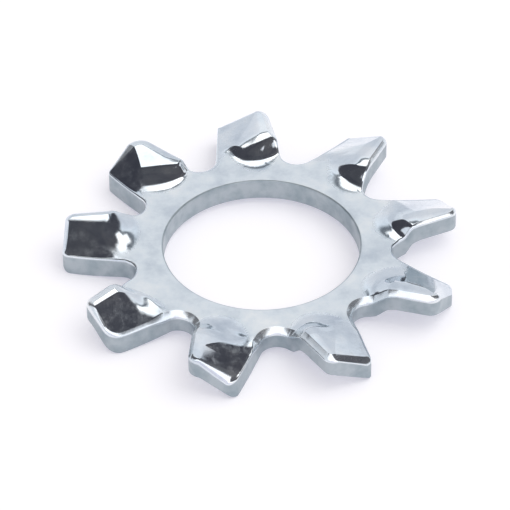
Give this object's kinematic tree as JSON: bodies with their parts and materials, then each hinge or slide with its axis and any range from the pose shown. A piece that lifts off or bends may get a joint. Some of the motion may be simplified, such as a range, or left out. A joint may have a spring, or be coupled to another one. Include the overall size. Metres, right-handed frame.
{
  "type": "external tooth lock washer",
  "caption": "Flat spring steel ring with square teeth all round its outer edge, each tooth twisted so that one corner lifts and the other dips.",
  "frame": {"origin": "on the axis of the bore, level with the flat ring's upper face", "axes": "+Z along the bore axis, to the side that the raised tooth edges stand up on; +X along the centre line of one tooth"},
  "size_m": [0.0101, 0.0102, 0.0012],
  "materials": {
    "zinc_plate": "bright zinc plate, blue-white passivated"
  },
  "bodies": {
    "root": {"lock_washer": "zinc_plate"}
  },
  "joints": []
}
